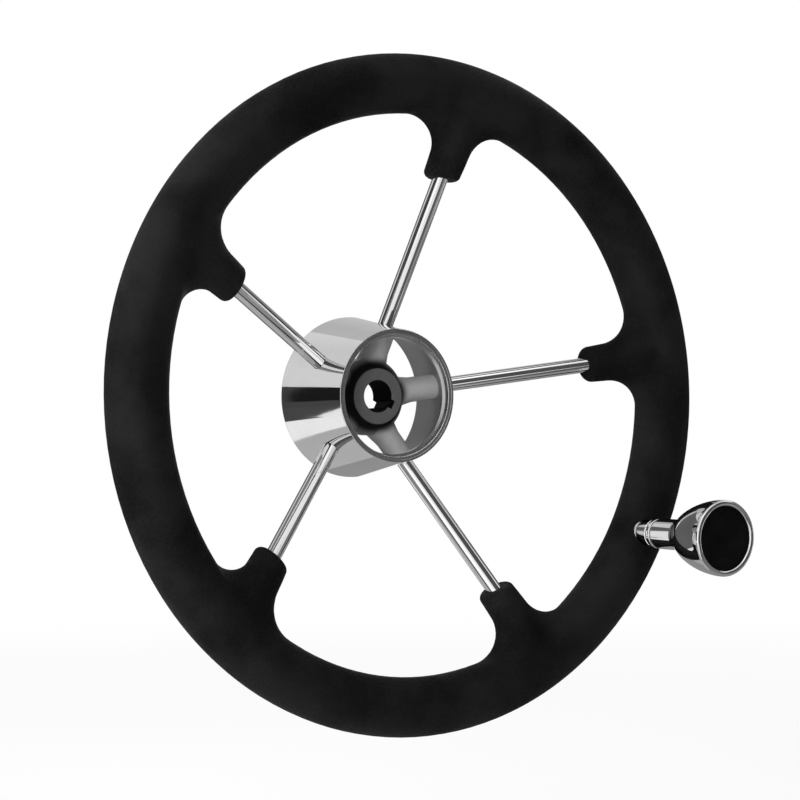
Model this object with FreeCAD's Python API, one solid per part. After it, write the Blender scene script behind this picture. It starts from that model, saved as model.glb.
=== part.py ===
import FreeCAD, Part
import math
import os
from FreeCAD import Vector

# Dished five-spoke boat steering wheel with a turning knob.
# Millimetres. The wheel turns about the Y axis, +Z is up and the helmsman sits on the -Y side.
# The origin lies on the wheel axis at the back face of the boss, where the shaft comes in.

# Rim
wheel_diameter = 342.9
grip_diameter = 29.8
core_rod_diameter = 10.0
moulding_gap = 0.05

# Spokes
spoke_count = 5
first_spoke_angle = 8.4
spoke_diameter = 8.0
dish_angle = 24.8
spoke_bend_radius = 55.0
spoke_flat_end = 1.5
spoke_end_chamfer = 0.6

# Moulded sockets that carry the spokes into the grip
socket_length = 28.85
socket_tip_width = 19.0
socket_tip_thickness = 17.0
socket_root_width = 24.0
socket_root_thickness = 20.0
socket_sections = 5
socket_tip_round = 3.0
socket_root_fillet = 18.0

# Hub shell, spun from sheet
shell_front_diameter = 69.0
shell_half_angle = 10.25
shell_length = 47.0
shell_overhang = 7.2
shell_wall = 1.5
shell_edge_round = 0.4
spoke_hole_clearance = 0.1

# Ring in the mouth of the shell, with the register of the centre cap
front_ring_depth = 6.2
front_ring_recess = 0.3
front_ring_wall = 1.5
cap_register_depth = 4.4
cap_ledge_width = 1.0
front_ring_gap = 0.05

# Cast boss with five arms
boss_length = 20.2
boss_face_diameter = 29.6
boss_face_round = 0.6
boss_collar_length = 3.4
boss_collar_round = 1.5
boss_body_diameter = 41.0
boss_body_front = 12.6
boss_body_front_round = 3.0
boss_body_back = 3.4
boss_body_back_round = 2.0
boss_back_diameter = 33.0
boss_back_round = 1.0
bore_small_diameter = 16.7
bore_taper = 1.0 / 12.0
bore_mouth_chamfer = 0.5
keyway_width = 4.76
keyway_depth = 2.1
keyway_angle = -27.0
keyway_cutter_overrun = 3.0
arm_diameter = 13.4
arm_root_length = 4.5
arm_root_flare = 2.0
arm_shell_gap = 0.05
spoke_socket_clearance = 0.05
spoke_seat_radius = 21.0

# Turning knob on the rim
knob_angle = -29.0
knob_inset = 3.75
knob_base_diameter = 13.8
knob_base_height = 11.6
knob_base_round = 1.0
knob_pedestal_diameter = 12.4
knob_pedestal_height = 8.0
thrust_washer_diameter = 14.6
thrust_washer_thickness = 0.8
knob_play = 0.1

knob_bead_diameter = 15.8
knob_bead_length = 3.4
knob_bead_foot_round = 1.3
knob_bead_round = 1.0
knob_groove_diameter = 14.4
knob_groove_length = 0.9
knob_collar_diameter = 16.2
knob_collar_length = 17.6
knob_collar_round = 0.8
knob_neck_round = 6.0
knob_flare_angle = 47.0
knob_flare_lead = 8.1
knob_flare_length = 33.3
knob_shoulder_length = 12.3
knob_diameter = 39.0
knob_rim_width = 3.2
knob_foot_wall = 1.5
cap_ledge = 1.6
cap_side_height = 2.4
cap_sunk = 1.1
cap_dome = 0.9
cap_fit_clearance = 0.05

stud_diameter = 8.0
stud_thread_depth = 12.0
stud_thread_out = 9.0
stud_end_chamfer = 0.8
thread_clearance = 0.05
bush_wall = 1.6
bush_flange_width = 1.4
bush_flange_thickness = 1.0
bush_length = 12.0
bush_running_clearance = 0.05
bush_fit_clearance = 0.02
knob_cavity_floor = 30.0
washer_diameter = 15.0
washer_thickness = 1.2
nut_sides = 6
nut_across_flats = 13.0
nut_height = 6.5
nut_chamfer_angle = 30.0

# Worked-out sizes
rim_radius = (wheel_diameter - grip_diameter) / 2
grip_inner_radius = rim_radius - grip_diameter / 2
core_inner_radius = rim_radius - core_rod_diameter / 2
dish = math.radians(dish_angle)
bend_end_radius = core_inner_radius - spoke_flat_end
bend_start_radius = bend_end_radius - spoke_bend_radius * math.sin(dish)
rim_depth = bend_start_radius * math.tan(dish) + spoke_bend_radius * (1 - math.cos(dish))
socket_tip_radius = grip_inner_radius - socket_length

shell_front_y = shell_overhang - shell_length
shell_slope = math.tan(math.radians(shell_half_angle))
shell_inner_offset = shell_wall / math.cos(math.radians(shell_half_angle))
bore_large_diameter = bore_small_diameter + bore_taper * boss_length

knob_radius = rim_radius - knob_inset
knob_base_top = knob_base_height
pedestal_top = knob_base_top + knob_pedestal_height
body_start = pedestal_top + thrust_washer_thickness + knob_play
bush_outer_diameter = stud_diameter + 2 * (bush_running_clearance + bush_wall)
collar_start = body_start + knob_bead_length + knob_groove_length
flare_start = collar_start + knob_collar_length
knob_end = flare_start + knob_flare_length
lip_start = knob_end - knob_rim_width / 2
cavity_floor = body_start + knob_cavity_floor
cap_radius = knob_diameter / 2 - knob_rim_width
cap_seat = knob_end - cap_sunk - cap_side_height
washer_start = cavity_floor + bush_flange_thickness + knob_play
nut_start = washer_start + washer_thickness

ORIGIN = Vector(0, 0, 0)
WHEEL_AXIS = Vector(0, 1, 0)


def turned_about_wheel(shape, angle):
    """The shape carried round the wheel axis, from +X towards +Z."""
    result = shape.copy()
    result.rotate(ORIGIN, WHEEL_AXIS, -angle)
    return result


def spoke_angles():
    """The angle of every spoke round the wheel."""
    return [first_spoke_angle + index * 360.0 / spoke_count for index in range(spoke_count)]


def rounded_outline(corners):
    """A closed wire in the XY plane through corners (x, y, corner radius)."""
    edges = []
    ends = []
    count = len(corners)
    for index in range(count):
        before = Vector(*corners[index - 1][:2], 0)
        here = Vector(*corners[index][:2], 0)
        after = Vector(*corners[(index + 1) % count][:2], 0)
        radius = corners[index][2]
        if radius <= 0:
            ends.append((here, None, here))
            continue
        back = (before - here).normalize()
        forward = (after - here).normalize()
        half_turn = back.getAngle(forward) / 2
        reach = radius / math.tan(half_turn)
        bisector = (back + forward).normalize()
        middle = here + bisector * (radius / math.sin(half_turn) - radius)
        ends.append((here + back * reach, middle, here + forward * reach))
    for index in range(count):
        start, middle, end = ends[index]
        if middle is not None:
            edges.append(Part.Arc(start, middle, end).toShape())
        following = ends[(index + 1) % count][0]
        if (following - end).Length > 1e-6:
            edges.append(Part.LineSegment(end, following).toShape())
    return Part.Wire(edges)


def turned_ring(corners):
    """A solid of revolution about the wheel axis from corners (radius, y, corner radius)."""
    face = Part.Face(rounded_outline(corners))
    return face.revolve(ORIGIN, WHEEL_AXIS, 360)


def cone_band(start_radius, start_y, end_radius, end_y):
    """A solid cone between two stations on the wheel axis."""
    corners = [(0, start_y, 0), (start_radius, start_y, 0), (end_radius, end_y, 0), (0, end_y, 0)]
    return turned_ring(corners)


def y_cylinder(diameter, start, end, x=0.0):
    """A cylinder along Y between two stations, with its axis at the given x."""
    low = min(start, end)
    return Part.makeCylinder(diameter / 2, abs(end - start), Vector(x, low, 0), WHEEL_AXIS)


def spoke_station(radius):
    """The axial place of the spoke line and its slope at a distance from the wheel axis."""
    if radius <= bend_start_radius:
        return -radius * math.tan(dish), dish
    if radius >= bend_end_radius:
        return -rim_depth, 0.0
    slope = math.asin((bend_end_radius - radius) / spoke_bend_radius)
    return -rim_depth + spoke_bend_radius * (1 - math.cos(slope)), slope


def spoke_bar(diameter, start_radius):
    """A bar along the spoke line, from a given radius to the middle of the rim."""
    start = Vector(start_radius, spoke_station(start_radius)[0], 0)
    bend_start = Vector(bend_start_radius, spoke_station(bend_start_radius)[0], 0)
    middle_radius = bend_end_radius - spoke_bend_radius * math.sin(dish / 2)
    bend_middle = Vector(middle_radius, spoke_station(middle_radius)[0], 0)
    bend_end = Vector(bend_end_radius, -rim_depth, 0)
    finish = Vector(rim_radius, -rim_depth, 0)
    path = Part.Wire([
        Part.LineSegment(start, bend_start).toShape(),
        Part.Arc(bend_start, bend_middle, bend_end).toShape(),
        Part.LineSegment(bend_end, finish).toShape(),
    ])
    direction = Vector(math.cos(dish), -math.sin(dish), 0)
    section = Part.Wire([Part.Circle(start, direction, diameter / 2).toShape()])
    return path.makePipeShell([section], True, True)


def rim_torus(diameter):
    """A ring of round section on the rim's centre circle."""
    return Part.makeTorus(rim_radius, diameter / 2, Vector(0, -rim_depth, 0), WHEEL_AXIS)


# Steel core of the rim
def make_core_ring():
    """The rod that was bent into a ring and welded, hidden in the grip."""
    return rim_torus(core_rod_diameter)


# Spokes
def make_spoke():
    """One polished rod, bent flat inside the grip and saddled onto the core ring."""
    bar = spoke_bar(spoke_diameter, spoke_seat_radius)
    inner_edges = []
    for edge in bar.Edges:
        if edge.CenterOfMass.x < spoke_seat_radius + 0.1:
            inner_edges.append(edge)
    bar = bar.makeChamfer(spoke_end_chamfer, inner_edges)
    return bar.cut(rim_torus(core_rod_diameter))


# Grip, moulded in one piece round the core and the outer ends of the spokes
def socket_section(radius, width, thickness):
    """An oval across the spoke line at a distance from the wheel axis."""
    y, slope = spoke_station(radius)
    centre = Vector(radius, y, 0)
    side = centre + Vector(0, 0, width / 2)
    front = centre + Vector(math.sin(slope), math.cos(slope), 0) * (thickness / 2)
    return Part.Wire([Part.Ellipse(side, front, centre).toShape()])


def make_socket():
    """One moulded socket with an end that faces the wheel axis squarely, before it joins the ring."""
    start = socket_tip_radius - socket_tip_thickness / 2
    sections = []
    for index in range(socket_sections):
        radius = start + (core_inner_radius - start) * index / (socket_sections - 1)
        share = (radius - socket_tip_radius) / (core_inner_radius - socket_tip_radius)
        width = socket_tip_width + share * (socket_root_width - socket_tip_width)
        thickness = socket_tip_thickness + share * (socket_root_thickness - socket_tip_thickness)
        sections.append(socket_section(radius, width, thickness))
    corner = Vector(socket_tip_radius, -rim_depth - rim_radius, -rim_radius)
    kept = Part.makeBox(rim_radius, 2 * rim_radius, 2 * rim_radius, corner)
    socket = Part.makeLoft(sections, True).common(kept)
    tip_limit = socket_tip_radius + socket_tip_round
    tip_edges = [edge for edge in socket.Edges if edge.BoundBox.XMax < tip_limit]
    return socket.makeFillet(socket_tip_round, tip_edges)


def make_grip():
    """The grip with its sockets blended into the ring, hollowed for what it is moulded round."""
    grip = rim_torus(grip_diameter)
    socket = make_socket()
    for angle in spoke_angles():
        grip = grip.fuse(turned_about_wheel(socket, angle))
    seams = []
    for edge in grip.Edges:
        box_middle = edge.BoundBox.Center
        reach = math.hypot(box_middle.x, box_middle.z)
        if edge.Closed and socket_tip_radius + socket_tip_thickness < reach < rim_radius:
            seams.append(edge)
    grip = grip.makeFillet(socket_root_fillet, seams)
    hollow = rim_torus(core_rod_diameter + 2 * moulding_gap)
    bar = spoke_bar(spoke_diameter + 2 * moulding_gap, socket_tip_radius - socket_tip_thickness)
    for angle in spoke_angles():
        hollow = hollow.fuse(turned_about_wheel(bar, angle))
    base_hole_diameter = knob_base_diameter + 2 * moulding_gap
    base_hole = y_cylinder(base_hole_diameter, -rim_depth, -rim_depth - grip_diameter, knob_radius)
    hollow = hollow.fuse(turned_about_wheel(base_hole, knob_angle))
    return grip.cut(hollow)


# Hub shell
def shell_outer_radius(y):
    """The outer radius of the shell at a station on the wheel axis."""
    return shell_front_diameter / 2 + (y - shell_front_y) * shell_slope


def shell_inner_radius(y):
    """The inner radius of the shell at a station on the wheel axis."""
    return shell_outer_radius(y) - shell_inner_offset


def make_hub_shell():
    """The spun cone, open at both ends and drilled for the spokes."""
    corners = [
        (shell_inner_radius(shell_front_y), shell_front_y, shell_edge_round),
        (shell_outer_radius(shell_front_y), shell_front_y, shell_edge_round),
        (shell_outer_radius(shell_overhang), shell_overhang, shell_edge_round),
        (shell_inner_radius(shell_overhang), shell_overhang, shell_edge_round),
    ]
    shell = turned_ring(corners)
    drill = spoke_bar(spoke_diameter + 2 * spoke_hole_clearance, spoke_seat_radius)
    for angle in spoke_angles():
        shell = shell.cut(turned_about_wheel(drill, angle))
    return shell


def make_front_ring():
    """The ring pressed into the mouth, stepped inside for the centre cap."""
    front = shell_front_y + front_ring_recess
    back = shell_front_y + front_ring_depth
    register = front + cap_register_depth
    front_outer = shell_inner_radius(front) - front_ring_gap
    back_outer = shell_inner_radius(back) - front_ring_gap
    bore_radius = front_outer - front_ring_wall
    ledge_radius = bore_radius - cap_ledge_width
    corners = [
        (bore_radius, front, shell_edge_round),
        (front_outer, front, 0),
        (back_outer, back, 0),
        (ledge_radius, back, 0),
        (ledge_radius, register, 0),
        (bore_radius, register, 0),
    ]
    return turned_ring(corners)


# Cast boss
def make_keyway():
    """The cutter for the keyway, sloped with the taper of the bore."""
    start = -boss_length - keyway_cutter_overrun
    end = keyway_cutter_overrun
    small_floor = bore_small_diameter / 2 + keyway_depth - keyway_cutter_overrun * bore_taper / 2
    large_floor = small_floor + (end - start) * bore_taper / 2
    profile = Part.makePolygon([
        Vector(0, start, -keyway_width / 2),
        Vector(small_floor, start, -keyway_width / 2),
        Vector(large_floor, end, -keyway_width / 2),
        Vector(0, end, -keyway_width / 2),
        Vector(0, start, -keyway_width / 2),
    ])
    cutter = Part.Face(profile).extrude(Vector(0, 0, keyway_width))
    return turned_about_wheel(cutter, keyway_angle)


def make_boss():
    """The casting: a collared boss and five round arms that meet the shell."""
    corners = [
        (0, -boss_length, 0),
        (boss_face_diameter / 2, -boss_length, boss_face_round),
        (boss_face_diameter / 2, boss_collar_length - boss_length, boss_collar_round),
        (boss_body_diameter / 2, -boss_body_front, boss_body_front_round),
        (boss_body_diameter / 2, -boss_body_back, boss_body_back_round),
        (boss_back_diameter / 2, 0, boss_back_round),
        (0, 0, 0),
    ]
    boss = turned_ring(corners)
    arm_start_radius = boss_back_diameter / 4
    arm_start = Vector(arm_start_radius, spoke_station(arm_start_radius)[0], 0)
    arm_length = shell_inner_radius(shell_overhang) / math.cos(dish)
    arm_direction = Vector(math.cos(dish), -math.sin(dish), 0)
    arm = Part.makeCylinder(arm_diameter / 2, arm_length, arm_start, arm_direction)
    root_start_radius = boss_body_diameter / 2 - arm_root_length
    root_start = Vector(root_start_radius, spoke_station(root_start_radius)[0], 0)
    root_size = arm_diameter / 2 + arm_root_flare
    root_length = 2 * arm_root_length / math.cos(dish)
    root = Part.makeCone(root_size, arm_diameter / 2, root_length, root_start, arm_direction)
    arm = arm.fuse(root)
    inside = cone_band(
        shell_inner_radius(shell_front_y) - arm_shell_gap, shell_front_y,
        shell_inner_radius(0) - arm_shell_gap, 0,
    )
    arm = arm.common(inside)
    for angle in spoke_angles():
        boss = boss.fuse(turned_about_wheel(arm, angle))
    bore = cone_band(bore_small_diameter / 2, -boss_length, bore_large_diameter / 2, 0)
    mouth = cone_band(
        bore_small_diameter / 2 + bore_mouth_chamfer, -boss_length,
        bore_small_diameter / 2, bore_mouth_chamfer - boss_length,
    )
    boss = boss.cut(bore).cut(mouth).cut(make_keyway())
    socket_diameter = spoke_diameter + 2 * spoke_socket_clearance
    socket = spoke_bar(socket_diameter, spoke_seat_radius - spoke_socket_clearance)
    for angle in spoke_angles():
        boss = boss.cut(turned_about_wheel(socket, angle))
    return boss


# Turning knob, drawn on its own axis: radius from that axis, height from the rim's centre plane
def knob_point(radius, height):
    """A point of the knob's half section, before it goes round the wheel."""
    return Vector(knob_radius + radius, -rim_depth - height, 0)


def knob_line(start, end):
    """A straight edge of the knob's half section."""
    return Part.LineSegment(knob_point(*start), knob_point(*end)).toShape()


def turned_knob(wire):
    """A solid of revolution about the knob's axis, carried to its place on the rim."""
    solid = Part.Face(wire).revolve(knob_point(0, 0), WHEEL_AXIS, 360)
    return turned_about_wheel(solid, knob_angle)


def turned_knob_part(corners):
    """A turned piece from corners (radius, height, corner radius)."""
    placed = [(knob_radius + radius, -rim_depth - height, rounding) for radius, height, rounding in corners]
    return turned_knob(rounded_outline(placed))


def make_knob_base():
    """The turned steel seat, saddled and welded onto the core ring and tapped for the stud."""
    tapped_radius = stud_diameter / 2 + thread_clearance
    tapped_floor = pedestal_top - stud_thread_depth - thread_clearance
    base_radius = knob_base_diameter / 2
    pedestal_radius = knob_pedestal_diameter / 2
    base = turned_knob_part([
        (0, 0, 0),
        (base_radius, 0, 0),
        (base_radius, knob_base_top, knob_base_round),
        (pedestal_radius, knob_base_top, 0),
        (pedestal_radius, pedestal_top, 0),
        (tapped_radius, pedestal_top, 0),
        (tapped_radius, tapped_floor, 0),
        (0, tapped_floor, 0),
    ])
    return base.cut(rim_torus(core_rod_diameter))


def make_thrust_washer():
    """The plastic washer that the knob turns on."""
    return turned_knob_part([
        (stud_diameter / 2 + thread_clearance, pedestal_top, 0),
        (thrust_washer_diameter / 2, pedestal_top, 0),
        (thrust_washer_diameter / 2, pedestal_top + thrust_washer_thickness, 0),
        (stud_diameter / 2 + thread_clearance, pedestal_top + thrust_washer_thickness, 0),
    ])


def make_stud():
    """The threaded stud that carries the knob."""
    bottom = pedestal_top - stud_thread_depth
    top = nut_start + stud_thread_out
    radius = stud_diameter / 2
    return turned_knob_part([
        (0, bottom, 0),
        (radius - stud_end_chamfer, bottom, 0),
        (radius, bottom + stud_end_chamfer, 0),
        (radius, top - stud_end_chamfer, 0),
        (radius - stud_end_chamfer, top, 0),
        (0, top, 0),
    ])


def make_bush(flange_height, direction):
    """A flanged bush, its flange at the given height and its sleeve running inwards."""
    bore = stud_diameter / 2 + bush_running_clearance
    sleeve = bush_outer_diameter / 2
    flange = sleeve + bush_flange_width
    shoulder = flange_height + direction * bush_flange_thickness
    end = flange_height + direction * bush_length
    return turned_knob_part([
        (bore, flange_height, 0),
        (flange, flange_height, 0),
        (flange, shoulder, 0),
        (sleeve, shoulder, 0),
        (sleeve, end, 0),
        (bore, end, 0),
    ])


def make_lower_bush():
    """The bush at the foot of the knob."""
    return make_bush(body_start, 1)


def make_upper_bush():
    """The bush at the floor of the knob's cavity."""
    return make_bush(cavity_floor + bush_flange_thickness, -1)


def make_washer():
    """The plain washer under the lock nut."""
    return turned_knob_part([
        (stud_diameter / 2 + thread_clearance, washer_start, 0),
        (washer_diameter / 2, washer_start, 0),
        (washer_diameter / 2, nut_start, 0),
        (stud_diameter / 2 + thread_clearance, nut_start, 0),
    ])


def make_lock_nut():
    """The hexagon nut that holds the knob on its stud, chamfered at both faces."""
    corner_radius = nut_across_flats / 2 / math.cos(math.pi / nut_sides)
    top = nut_start + nut_height
    corners = []
    for index in range(nut_sides + 1):
        turn = 2 * math.pi * index / nut_sides
        place = knob_point(corner_radius * math.cos(turn), nut_start)
        corners.append(place + Vector(0, 0, corner_radius * math.sin(turn)))
    hexagon = Part.Face(Part.makePolygon(corners)).extrude(Vector(0, -nut_height, 0))
    hexagon = turned_about_wheel(hexagon, knob_angle)
    flat_radius = nut_across_flats / 2
    drop = (corner_radius - flat_radius) * math.tan(math.radians(nut_chamfer_angle))
    envelope = turned_knob_part([
        (stud_diameter / 2 + thread_clearance, nut_start, 0),
        (flat_radius, nut_start, 0),
        (corner_radius, nut_start + drop, 0),
        (corner_radius, top - drop, 0),
        (flat_radius, top, 0),
        (stud_diameter / 2 + thread_clearance, top, 0),
    ])
    return hexagon.common(envelope)


def is_knob_circle(edge, radius, height):
    """True for a circular edge of the knob at the given radius and height."""
    if edge.Curve.TypeId != "Part::GeomCircle":
        return False
    same_radius = abs(edge.Curve.Radius - radius) < 0.01
    same_height = abs(edge.Curve.Center.y + rim_depth + height) < 0.01
    return same_radius and same_height


def make_knob_body():
    """The polished shell of the knob: bead, groove, collar and flared bell with a rounded lip."""
    bore = bush_outer_diameter / 2 + bush_fit_clearance
    counterbore = bore + bush_flange_width
    bead = knob_bead_diameter / 2
    groove = knob_groove_diameter / 2
    collar = knob_collar_diameter / 2
    widest = knob_diameter / 2
    flange = bush_flange_thickness
    cavity_mouth = cap_radius - cap_ledge
    cavity_foot = counterbore + knob_foot_wall
    body = turned_knob_part([
        (bore, body_start + flange, 0),
        (counterbore, body_start + flange, 0),
        (counterbore, body_start, 0),
        (bead, body_start, knob_bead_foot_round),
        (bead, body_start + knob_bead_length, knob_bead_round),
        (groove, body_start + knob_bead_length, 0),
        (groove, collar_start, 0),
        (collar, collar_start, knob_collar_round),
        (collar, flare_start, 0),
        (bore, flare_start, 0),
    ])
    lead = math.radians(knob_flare_angle)
    flare = Part.BezierCurve()
    flare.setPoles([
        knob_point(collar, flare_start),
        knob_point(collar + knob_flare_lead * math.sin(lead), flare_start + knob_flare_lead * math.cos(lead)),
        knob_point(widest, lip_start - knob_shoulder_length),
        knob_point(widest, lip_start),
    ])
    lip = [(widest, lip_start), (widest - knob_rim_width / 2, knob_end), (cap_radius, lip_start)]
    bell_edges = [
        flare.toShape(),
        Part.Arc(*[knob_point(*point) for point in lip]).toShape(),
        knob_line((cap_radius, lip_start), (cap_radius, cap_seat)),
        knob_line((cap_radius, cap_seat), (cavity_mouth, cap_seat)),
        knob_line((cavity_mouth, cap_seat), (cavity_foot, cavity_floor)),
        knob_line((cavity_foot, cavity_floor), (bore, cavity_floor)),
        knob_line((bore, cavity_floor), (bore, flare_start)),
        knob_line((bore, flare_start), (collar, flare_start)),
    ]
    bell = turned_knob(Part.Wire(bell_edges))
    body = body.fuse(bell)
    neck = [edge for edge in body.Edges if is_knob_circle(edge, collar, flare_start)]
    return body.makeFillet(knob_neck_round, neck)


def make_knob_cap():
    """The slightly domed black disc in the face of the knob."""
    radius = cap_radius - cap_fit_clearance
    side_top = knob_end - cap_sunk
    dome_radius = (radius ** 2 + cap_dome ** 2) / (2 * cap_dome)
    half_turn = math.asin(radius / dome_radius) / 2
    dome_centre = side_top + cap_dome - dome_radius
    half_way = (dome_radius * math.sin(half_turn), dome_centre + dome_radius * math.cos(half_turn))
    top = (0, side_top + cap_dome)
    edges = [
        knob_line((0, cap_seat), (radius, cap_seat)),
        knob_line((radius, cap_seat), (radius, side_top)),
        Part.Arc(knob_point(radius, side_top), knob_point(*half_way), knob_point(*top)).toShape(),
        knob_line(top, (0, cap_seat)),
    ]
    return turned_knob(Part.Wire(edges))


# Every piece by name
def build_pieces():
    """A dictionary of node name to solid."""
    pieces = {
        "grip": make_grip(),
        "core_ring": make_core_ring(),
        "hub_shell": make_hub_shell(),
        "hub_front_ring": make_front_ring(),
        "hub_boss": make_boss(),
        "knob_base": make_knob_base(),
        "knob_thrust_washer": make_thrust_washer(),
        "knob_stud": make_stud(),
        "knob_lower_bush": make_lower_bush(),
        "knob_upper_bush": make_upper_bush(),
        "knob_washer": make_washer(),
        "knob_lock_nut": make_lock_nut(),
        "knob_body": make_knob_body(),
        "knob_cap": make_knob_cap(),
    }
    spoke = make_spoke()
    for index, angle in enumerate(spoke_angles()):
        pieces[f"spoke_{index + 1}"] = turned_about_wheel(spoke, angle)
    return pieces


os.makedirs("parts", exist_ok=True)
for name, shape in build_pieces().items():
    shape.exportStep(f"parts/{name}.step")
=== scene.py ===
import math

import bpy
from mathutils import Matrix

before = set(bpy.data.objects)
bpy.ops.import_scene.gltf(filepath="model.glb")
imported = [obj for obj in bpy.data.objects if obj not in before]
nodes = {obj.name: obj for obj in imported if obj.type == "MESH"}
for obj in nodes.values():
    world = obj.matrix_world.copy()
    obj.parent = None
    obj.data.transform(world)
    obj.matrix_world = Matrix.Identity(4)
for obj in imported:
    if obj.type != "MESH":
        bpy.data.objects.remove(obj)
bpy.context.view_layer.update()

# The grip: one moulding of hard-skinned polyurethane foam, black and matt with a fine leather
# grain. It is moulded round the steel core, the outer ends of the spokes and the knob's seat,
# so it can't be taken off.


class Value:
    """A number that changes over a surface, for use in plain sums."""

    def __init__(self, finish, socket):
        self.finish = finish
        self.socket = socket

    def worked(self, operation, *terms):
        inputs = dict(enumerate(terms))
        return self.finish.node("ShaderNodeMath", {"operation": operation}, inputs)["Value"]

    def __add__(self, other):
        return self.worked("ADD", self, other)

    def __sub__(self, other):
        return self.worked("SUBTRACT", self, other)

    def __rsub__(self, other):
        return self.worked("SUBTRACT", other, self)

    def __mul__(self, other):
        return self.worked("MULTIPLY", self, other)

    def __pow__(self, other):
        return self.worked("POWER", self, other)

    def __abs__(self):
        return self.worked("ABSOLUTE", self)

    __radd__ = __add__
    __rmul__ = __mul__

    def step(self, low, high):
        """0 below low, 1 above high and a smooth change between them."""
        settings = {"interpolation_type": "SMOOTHSTEP"}
        inputs = {"Value": self, "From Min": low, "From Max": high}
        return self.finish.node("ShaderNodeMapRange", settings, inputs)["Result"]


class Finish:
    """One material. Its constants sit on the shader, and what varies is linked in."""

    def __init__(self, name, **constants):
        self.material = bpy.data.materials.new(name)
        self.material.use_nodes = True
        self.tree = self.material.node_tree
        self.shader = self.tree.nodes["Principled BSDF"]
        for socket, value in constants.items():
            self.shader.inputs[socket.replace("_", " ")].default_value = value
        self.place = self.node("ShaderNodeTexCoord", {}, {})["Object"]
        parts = self.node("ShaderNodeSeparateXYZ", {}, {"Vector": self.place})
        self.x, self.y, self.z = parts["X"], parts["Y"], parts["Z"]

    def node(self, kind, settings, inputs):
        """Adds a node, its settings first and then its inputs, and gives its outputs by name."""
        made = self.tree.nodes.new(kind)
        for name, value in settings.items():
            setattr(made, name, value)
        shown = [socket for socket in made.inputs if socket.enabled]
        for name, value in inputs.items():
            if isinstance(name, int):
                socket = made.inputs[name]
            else:
                socket = next(candidate for candidate in shown if candidate.name == name)
            self.feed(socket, value)
        return {socket.name: Value(self, socket) for socket in made.outputs if socket.enabled}

    def feed(self, socket, value):
        """Links a value to a socket, or sets the socket to a constant."""
        if isinstance(value, Value):
            self.tree.links.new(value.socket, socket)
        else:
            socket.default_value = value

    def noise(self, scale, stretch=(1, 1, 1), detail=2.0, turn=(0, 0, 0)):
        """Fractal noise on the object's own coordinates, with its mean near a half."""
        sizes = [1 / times for times in stretch]
        inputs = {"Vector": self.place, "Rotation": turn, "Scale": sizes}
        placed = self.node("ShaderNodeMapping", {"vector_type": "TEXTURE"}, inputs)["Vector"]
        inputs = {"Vector": placed, "Scale": scale, "Detail": detail}
        return self.node("ShaderNodeTexNoise", {}, inputs)["Fac"]

    def blend(self, share, first, second):
        """A colour between two colours, each of them plain or a blend itself."""
        pair = [each if isinstance(each, Value) else (*each, 1) for each in (first, second)]
        inputs = {"Factor": share, "A": pair[0], "B": pair[1]}
        return self.node("ShaderNodeMix", {"data_type": "RGBA"}, inputs)["Result"]

    def relief(self, height, depth, strength=1.0):
        """Raises the surface by a height, whose 1 is a depth in metres."""
        inputs = {"Height": height, "Distance": depth, "Strength": strength}
        self.set("Normal", self.node("ShaderNodeBump", {}, inputs)["Normal"])

    def set(self, socket, value):
        """Feeds one of the shader's own sockets."""
        self.feed(self.shader.inputs[socket], value)

    def show(self, surface):
        """Makes another shader the surface, in place of the finish's own."""
        self.feed(self.tree.nodes["Material Output"].inputs["Surface"], surface)

    def give(self, *names):
        """Puts the finish on CAD nodes."""
        for name in names:
            nodes[name].material_slots[0].material = self.material


foam = Finish("black_foam", Specular_IOR_Level=0.06)
pebbles = foam.node("ShaderNodeTexVoronoi", {"feature": "SMOOTH_F1"}, {
    "Vector": foam.place, "Scale": 900.0, "Smoothness": 0.6,
})["Distance"]
creases = pebbles.step(0.25, 0.7)
pores = foam.noise(2600.0, detail=3.0)
patches = foam.noise(24.0, detail=4.0).step(0.36, 0.64)
worn_black = (0.012, 0.012, 0.0123)
deep_black = (0.0035, 0.0035, 0.0035)
foam.set("Base Color", foam.blend(patches * 0.8 + creases * 0.2, worn_black, deep_black))
foam.set("Roughness", 0.5 + patches * 0.1 + creases * 0.12)

# A soft ridge stands on the front of each socket, over the rod, and fades out on the rim.
first_spoke_angle = 8.4
spoke_count = 5
ridge_half_width = 0.0065
ridge_crest = 0.0005
front_slope = 0.4
rim_inner_radius = 0.134
rim_crown_radius = 0.15
grain_depth = 0.00012
reach = (foam.x ** 2 + foam.z ** 2) ** 0.5
turn = foam.z.worked("ARCTAN2", foam.z, foam.x) - math.radians(first_spoke_angle)
half_gap = math.pi / spoke_count
across = abs(turn.worked("WRAP", turn, half_gap, -half_gap) * reach)
front = 1 - (foam.y + reach * front_slope).step(-0.011, -0.005)
socket_part = 1 - reach.step(rim_inner_radius, rim_crown_radius)
ridge = (1 - across.step(ridge_crest, ridge_half_width)) * socket_part * front
foam.relief((1 - creases) * 0.7 + pores * 0.3 + ridge * 8.0, grain_depth, 0.7)
foam.give("grip")

# The core of the rim: drawn stainless rod, bent into a ring and butt welded. It is left
# unpolished, because the foam hides it.
scaled_grey = (0.3, 0.3, 0.3)
drawn_grey = (0.42, 0.415, 0.41)
core_steel = Finish("core_steel", Metallic=1.0)
drawn = core_steel.noise(60.0, detail=4.0)
core_steel.set("Base Color", core_steel.blend(drawn, scaled_grey, drawn_grey))
core_steel.set("Roughness", 0.35 + drawn * 0.2)
core_steel.give("core_ring")

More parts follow.
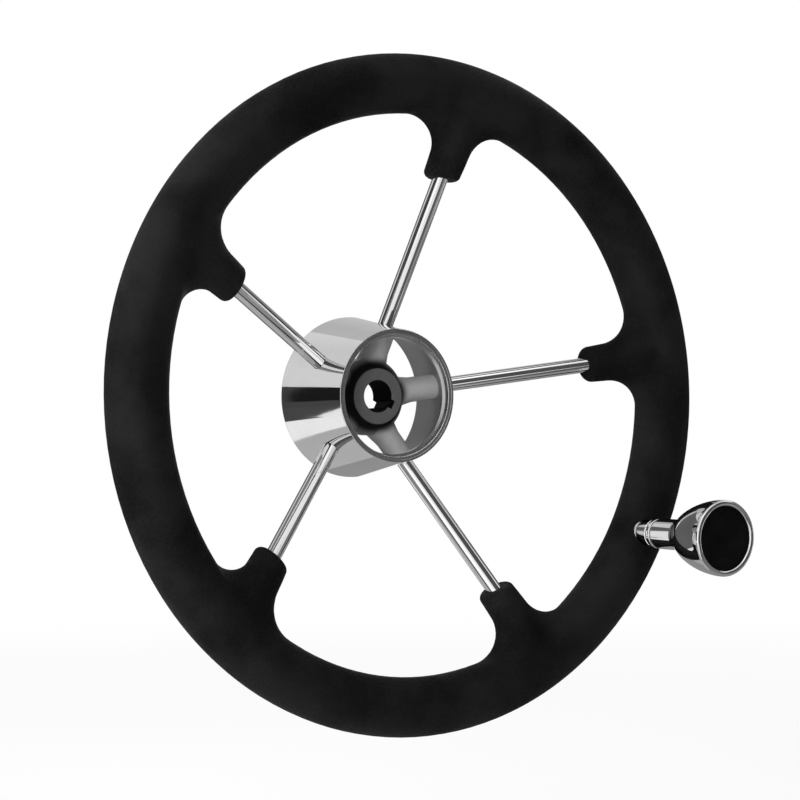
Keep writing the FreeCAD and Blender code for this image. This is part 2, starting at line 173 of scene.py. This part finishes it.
# The spokes: five polished stainless rods. Each is straight from the boss to its socket, is bent
# flat inside the grip and is welded to the core. Polishing along the rod leaves faint lines.
dish = math.radians(24.8)
lined_silver = (0.72, 0.72, 0.72)
rod_silver = (0.8, 0.798, 0.795)
for number in range(spoke_count):
    rod = Finish(f"polished_rod_{number + 1}", Metallic=1.0)
    angle = math.radians(first_spoke_angle + number * 360 / spoke_count)
    run = (math.cos(angle) * math.cos(dish), -math.sin(dish), math.sin(angle) * math.cos(dish))
    along_rod = (0, -math.asin(run[2]), math.atan2(run[1], run[0]))
    lines = rod.noise(1.0, (20, 800, 800), 2.0, along_rod)
    wipes = rod.noise(90.0, detail=2.0).step(0.45, 0.75)
    rod.set("Base Color", rod.blend(lines, lined_silver, rod_silver))
    rod.set("Roughness", 0.035 + lines * 0.04 + wipes * 0.02)
    rod.relief(lines, 0.000003, 0.3)
    rod.give(f"spoke_{number + 1}")

# The hub shell: stainless sheet spun to a cone and drilled for the spokes. Its outside is
# mirror polished, and its inside keeps the dull grey of the spinning.
shell_front = -0.0398
shell_front_radius = 0.03425
shell_slope = math.tan(math.radians(10.25))
sheet_middle = 0.00076
mirror_silver = (0.8, 0.8, 0.8)
hazy_silver = (0.74, 0.74, 0.742)
spun_dark = (0.38, 0.38, 0.38)
spun_light = (0.5, 0.5, 0.5)
shell_steel = Finish("spun_shell", Metallic=1.0)
reach = (shell_steel.x ** 2 + shell_steel.z ** 2) ** 0.5
cone = shell_front_radius - sheet_middle + (shell_steel.y - shell_front) * shell_slope
inside = 1 - (reach - cone).step(-0.0004, 0.0004)
rings = shell_steel.noise(1.0, (30, 1100, 30), 3.0)
haze = shell_steel.noise(55.0, detail=3.0).step(0.4, 0.8)
polished = shell_steel.blend(haze * 0.5 + rings * 0.5, mirror_silver, hazy_silver)
dull = shell_steel.blend(rings, spun_dark, spun_light)
shell_steel.set("Base Color", shell_steel.blend(inside, polished, dull))
shell_steel.set("Roughness", 0.035 + haze * 0.03 + rings * 0.02 + inside * 0.4)
shell_steel.relief(rings * (inside + 0.06), 0.00002, 0.5)
shell_steel.give("hub_shell")

# The ring in the mouth of the shell: turned stainless, pressed in, with a step inside that
# takes the centre cap. Its face is bright and its bore keeps the turning marks.
ring_dark = (0.66, 0.66, 0.66)
ring_light = (0.76, 0.76, 0.758)
ring_steel = Finish("turned_ring", Metallic=1.0)
turning = ring_steel.noise(1.0, (40, 5200, 40), 2.0)
ring_steel.set("Base Color", ring_steel.blend(turning, ring_dark, ring_light))
ring_steel.set("Roughness", 0.2 + turning * 0.14)
ring_steel.relief(turning, 0.00001, 0.5)
ring_steel.give("hub_front_ring")

# The boss and its five arms: one casting in grey alloy with the fine skin of its sand mould.
# The front face is machined, so it is smoother and darker. The bore and the corners between
# the arms are painted black, dull and metallic, as painted shade.
boss_front = -0.0202
boss_face_radius = 0.0158
bore_radius = 0.0109
shade_radius = 0.0165
shade_end_radius = 0.0215
soft_edge = 0.0003
cast_dark = (0.38, 0.38, 0.382)
cast_light = (0.48, 0.48, 0.48)
faced_dark = (0.11, 0.11, 0.111)
faced_light = (0.14, 0.14, 0.14)
painted_shade_black = (0.008, 0.008, 0.008)
casting = Finish("grey_casting", Specular_IOR_Level=0.25)
sand = casting.noise(1500.0, detail=4.0)
lumps = casting.noise(160.0, detail=3.0)
reach = (casting.x ** 2 + casting.z ** 2) ** 0.5
behind = (casting.y - boss_front).step(0.0001, 0.0004)
faced = (1 - behind) * (1 - reach.step(boss_face_radius - soft_edge, boss_face_radius))
cast_grey = casting.blend(lumps * 0.6 + sand * 0.4, cast_dark, cast_light)
faced_grey = casting.blend(lumps, faced_dark, faced_light)
skin = casting.blend(faced, cast_grey, faced_grey)
# Painted shade: black in the bore and in the corners round the roots of the arms, behind the
# face.
corners = 1 - reach.step(shade_radius, shade_end_radius)
bore = 1 - reach.step(bore_radius - soft_edge, bore_radius)
painted_shade = behind * (corners * 0.93 + bore * 0.07)
casting.set("Base Color", casting.blend(painted_shade, skin, painted_shade_black))
casting.set("Metallic", 0.1 + painted_shade * 0.85)
casting.set("Roughness", 0.52 + lumps * 0.1 - faced * 0.12 + painted_shade * 0.4)
casting.relief(sand * 0.6 + lumps * 0.4, 0.00008, 0.7)
casting.give("hub_boss")

# The knob's seat, stud, washer and lock nut: turned and rolled stainless. The seat is welded to
# the core and stands out of the foam, and the other pieces are hidden in the knob.
seat_dark = (0.56, 0.56, 0.56)
seat_light = (0.66, 0.66, 0.658)
turned_steel = Finish("turned_steel", Metallic=1.0)
cuts = turned_steel.noise(1.0, (60, 6000, 60), 2.0)
turned_steel.set("Base Color", turned_steel.blend(cuts, seat_dark, seat_light))
turned_steel.set("Roughness", 0.07 + cuts * 0.07)
turned_steel.relief(cuts, 0.000004, 0.4)
turned_steel.give("knob_base", "knob_stud", "knob_washer", "knob_lock_nut")

# The thrust washer and the two bushes: plain acetal, turned from rod. They let the knob turn
# freely, and only the edge of the washer shows.
acetal_cream = (0.7, 0.69, 0.66)
acetal_white = (0.78, 0.77, 0.74)
acetal = Finish("natural_acetal", Specular_IOR_Level=0.45)
cloud = acetal.noise(300.0, detail=3.0)
acetal.set("Base Color", acetal.blend(cloud, acetal_cream, acetal_white))
acetal.set("Roughness", 0.36 + cloud * 0.12)
acetal.relief(cloud, 0.00002, 0.4)
acetal.give("knob_thrust_washer", "knob_lower_bush", "knob_upper_bush")

# The knob: turned brass under bright chrome. It turns by itself on the stud, so its finish is
# smooth all over, with only the faint smears that a hand leaves.
chrome_silver = (0.7, 0.7, 0.705)
smeared_silver = (0.64, 0.64, 0.64)
chrome = Finish("bright_chrome", Metallic=1.0)
smears = chrome.noise(110.0, (1, 0.4, 1), 3.0).step(0.5, 0.85)
chrome.set("Base Color", chrome.blend(smears, chrome_silver, smeared_silver))
chrome.set("Roughness", 0.025 + smears * 0.05)
chrome.give("knob_body")

# The knob's cap: a black plastic disc, a little domed, snapped into the face of the knob.
# It has the fine even texture of its mould.
cap_black = (0.002, 0.002, 0.002)
rubbed_black = (0.004, 0.004, 0.004)
cap_plastic = Finish("cap_plastic", Specular_IOR_Level=0.06)
etch = cap_plastic.noise(3200.0, detail=2.0)
wear = cap_plastic.noise(70.0, detail=3.0).step(0.4, 0.8)
cap_plastic.set("Base Color", cap_plastic.blend(wear, cap_black, rubbed_black))
cap_plastic.set("Roughness", 0.42 + wear * 0.1)
cap_plastic.relief(etch, 0.00003, 0.5)
cap_plastic.give("knob_cap")

# The studio: a pale floor under the wheel and a white surround, which is plain grey as a light.
# Soft boxes stand to the left, above, in front and behind. Cloths that glow in their own grey
# and that only reflections show stand round the wheel: they paint the bands the metal mirrors.
pure_white = (1, 1, 1, 1)


def looked_at(finish):
    """1 where the camera, a reflection or glass looks at it, and 0 where it gives light."""
    rays = finish.node("ShaderNodeLightPath", {}, {})
    seen = rays["Is Camera Ray"]
    seen = seen.worked("MAXIMUM", seen, rays["Is Glossy Ray"])
    return seen.worked("MAXIMUM", seen, rays["Is Transmission Ray"])


floor_height = -0.42
bpy.ops.object.select_all(action="DESELECT")
bpy.ops.mesh.primitive_plane_add(size=12, location=(0, 0, floor_height))
floor = bpy.context.object
floor.name = "floor"
paper = Finish("floor_paper", Roughness=0.9, Specular_IOR_Level=0.1)
paper.shader.inputs["Base Color"].default_value = (0.86, 0.86, 0.86, 1)
far = ((paper.x ** 2 + paper.y ** 2) ** 0.5).step(1.0, 3.0)
share = looked_at(paper) * (0.86 + far * 0.14)
lit = Value(paper, paper.shader.outputs["BSDF"])
white = paper.node("ShaderNodeEmission", {}, {"Color": pure_white, "Strength": 1.0})["Emission"]
paper.show(paper.node("ShaderNodeMixShader", {}, {0: share, 1: lit, 2: white})["Shader"])
floor.data.materials.append(paper.material)


class Surround(Finish):
    """The world, made with the same node method as a finish."""

    def __init__(self, name):
        world = bpy.data.worlds.new(name)
        world.use_nodes = True
        self.tree = world.node_tree
        self.tree.nodes.clear()
        bpy.context.scene.world = world


surround = Surround("surround")
grey = surround.node("ShaderNodeBackground", {}, {"Color": (0.2, 0.2, 0.2, 1)})["Background"]
white = surround.node("ShaderNodeBackground", {}, {"Color": pure_white})["Background"]
choice = surround.node("ShaderNodeMixShader", {}, {0: looked_at(surround), 1: grey, 2: white})
surround.node("ShaderNodeOutputWorld", {}, {"Surface": choice["Shader"]})

line_to_camera = math.radians(-122.3)
wedge_heading = math.radians(140)


def around(turn, distance, height):
    """A place round the wheel, at an angle to the left of the line to the camera."""
    heading = line_to_camera - math.radians(turn)
    return (distance * math.cos(heading), distance * math.sin(heading), height)


def aimed(made, target=(0, 0, 0)):
    """Turns a lamp or a cloth to face a point."""
    aim = [end - start for start, end in zip(made.location, target)]
    flat = math.hypot(aim[0], aim[1])
    made.rotation_euler = (math.atan2(flat, -aim[2]), 0, math.atan2(-aim[0], aim[1]))


def soft_box(name, place, width, height, watts):
    """A lamp with a broad front, which reflections don't show."""
    data = bpy.data.lights.new(name, "AREA")
    data.shape = "RECTANGLE"
    data.size = width
    data.size_y = height
    data.energy = watts
    made = bpy.data.objects.new(name, data)
    bpy.context.scene.collection.objects.link(made)
    made.location = place
    made.visible_glossy = False
    aimed(made)


def cloth(name, place, width, height, grey, target=(0, 0, 0), lean=0):
    """A glowing cloth that only reflections show, in a grey that varies by a fifth.

    With no target it lies flat.
    """
    bpy.ops.object.select_all(action="DESELECT")
    bpy.ops.mesh.primitive_plane_add(size=1)
    made = bpy.context.object
    made.name = name
    made.location = place
    made.scale = (width, height, 1)
    if target:
        aimed(made, target)
        made.rotation_euler.rotate_axis("Z", math.radians(lean))
    made.visible_camera = False
    made.visible_diffuse = False
    made.visible_shadow = False
    # The cloth glows in its own grey, and the metal mirrors it as a painted reflection.
    glow_sheet = Finish(name + "_weave")
    dark = (grey * 0.8,) * 3
    light = (grey * 1.2,) * 3
    glow = glow_sheet.blend(glow_sheet.noise(1.5, detail=1.0), dark, light)
    lit = glow_sheet.node("ShaderNodeEmission", {}, {"Color": glow, "Strength": 1.0})
    glow_sheet.show(lit["Emission"])
    made.data.materials.append(glow_sheet.material)


def wall(name, place, width, height, grey):
    """A cloth that stands upright and faces the wheel's middle line."""
    cloth(name, place, width, height, grey, (0, 0, place[2]))


def floor_cloth(name, x, y, width, length, grey, rise):
    """A cloth that lies just over the floor."""
    cloth(name, (x, y, floor_height + rise), width, length, grey, None)


def wedge_cloth(name, across, height, distance, wide, tall, grey, lean=0):
    """A cloth on the planes behind the wheel that the side of the hub mirrors."""
    ahead = (math.cos(wedge_heading), math.sin(wedge_heading))
    foot = (-across * ahead[1], across * ahead[0], height)
    place = (foot[0] + distance * ahead[0], foot[1] + distance * ahead[1], height)
    cloth(name, place, wide, tall, grey, foot, lean)


# The lamps, and the two white cloths that stand for their fronts in the metal.
soft_box("left_box", around(55, 1.6, 0.5), 0.45, 0.8, 24)
soft_box("top_box", around(10, 1.0, 1.5), 1.2, 0.5, 7)
soft_box("face_box", around(12, 1.7, 0.25), 0.5, 0.5, 12)
soft_box("rear_box", around(165, 1.5, 0.9), 0.8, 0.6, 18)
cloth("left_front", around(20, 1.58, 0.08), 0.6, 1.1, 1.5)
cloth("top_front", around(10, 0.98, 1.48), 1.2, 0.6, 1.5)

# The walls and ceiling of the studio, for the rods and the upper side of the hub.
wall("right_wall", around(-48, 1.8, 0.84), 2.66, 2.5, 0.09)
wall("left_wall", around(67, 1.5, 0.1), 1.35, 0.72, 0.075)
wall("rear_right_wall", around(-120, 2.3, 0.45), 3.1, 1.7, 0.2)
cloth("low_strip", around(-107, 0.95, -0.2), 0.22, 0.34, 1.1)
cloth("high_rear", around(-165, 1.1, 2.0), 1.8, 1.4, 0.2)
cloth("high_left", around(130, 0.75, 1.65), 1.2, 0.9, 0.2)
cloth("pale_rear", around(118, 1.5, 1.0), 1.7, 1.5, 0.75)
cloth("grey_rear", around(166, 1.6, 1.05), 1.5, 1.5, 0.56)

# Floor cloths, for the lower side of the hub and of the rods.
floor_cloth("right_floor", 1.06, -0.3, 2.28, 3.8, 0.31, 0.005)
floor_cloth("dark_floor", 0.14, -1.24, 0.52, 1.52, 0.12, 0.01)
floor_cloth("left_floor", -1.06, 0.125, 0.88, 0.85, 0.25, 0.005)
floor_cloth("near_floor", -0.25, 0.075, 0.74, 0.74, 0.5, 0.008)

# Glowing cloths for painted reflections: the dark wedge on the left side of the hub, and the
# grey and black of the knob.
wedge_cloth("wedge_top", 0.16, 0.031, 0.6, 0.28, 0.154, 0.012)
wedge_cloth("wedge_side", 0.025, 0.004, 0.61, 0.15, 0.208, 0.06)
wedge_cloth("wedge_low", -0.038, -0.164, 0.61, 0.083, 0.148, 0.068)
wedge_cloth("wedge_foot", 0.028, -0.078, 0.62, 0.1, 0.28, 0.068, -29.1)
cloth("knob_rear", (-0.072, 0.5, 0.018), 0.526, 0.656, 0.14, (-0.072, 0, 0.018))
cloth("knob_shade", (0.31, 0.145, 0), 0.26, 0.2, 0.015, (0.31, -0.1, 0))

# The camera: in front of the wheel and to the left of its axis, at the photograph's viewing
# angle and distance. It has no shift, and everything is in focus.
camera = bpy.data.objects.new("camera", bpy.data.cameras.new("camera"))
bpy.context.scene.collection.objects.link(camera)
bpy.context.scene.camera = camera
camera.data.sensor_width = 36
camera.data.lens = 81.17
camera.location = (-0.49522, -0.82593, -0.01418)
camera.rotation_euler = [math.radians(angle) for angle in (90.7332, 0.4629, -32.2626)]
bpy.context.scene.view_settings.view_transform = "Standard"
